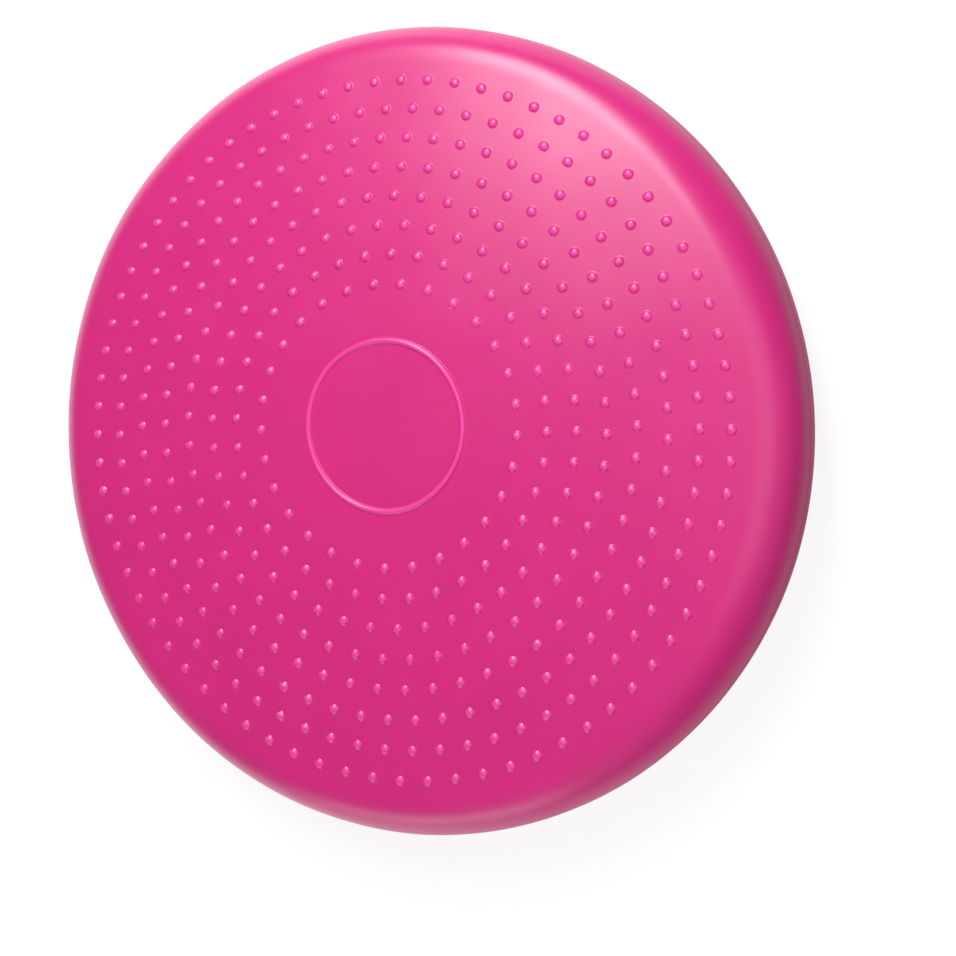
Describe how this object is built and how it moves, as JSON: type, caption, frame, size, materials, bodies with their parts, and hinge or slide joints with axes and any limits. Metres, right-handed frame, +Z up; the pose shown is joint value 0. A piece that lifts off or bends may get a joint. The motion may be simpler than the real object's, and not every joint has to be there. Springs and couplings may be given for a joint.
{
  "type": "wobble cushion",
  "caption": "Round air-filled balance cushion: domed nubbed face that tilts on a domed foot, fat rounded rim, needle valve in the rim.",
  "frame": {"origin": "centre of the flat patch the cushion stands on, at floor level", "axes": "+Z up, out of the nubbed face; -X out of the valve's mouth"},
  "size_m": [0.33, 0.33, 0.0648],
  "materials": {
    "skin": "satin",
    "sleeve": "matte",
    "plug": "matte"
  },
  "bodies": {
    "foot": {"lower_skin": "skin"},
    "rim": {"valve_sleeve": "sleeve", "valve_plug": "plug"},
    "face": {"upper_skin": "skin"}
  },
  "joints": [
    {"name": "tilt_about_x", "type": "hinge", "parent": "foot", "child": "rim", "pos_m": [0, 0, 0.031], "axis": [1, 0, 0], "range_deg": [-5, 5], "stiffness_Nm_per_rad": 80, "deforming": ["lower_skin"]},
    {"name": "tilt_about_y", "type": "hinge", "parent": "rim", "child": "face", "pos_m": [0, 0, 0.031], "axis": [0, 1, 0], "range_deg": [-5, 5], "stiffness_Nm_per_rad": 80, "deforming": ["upper_skin"]}
  ]
}
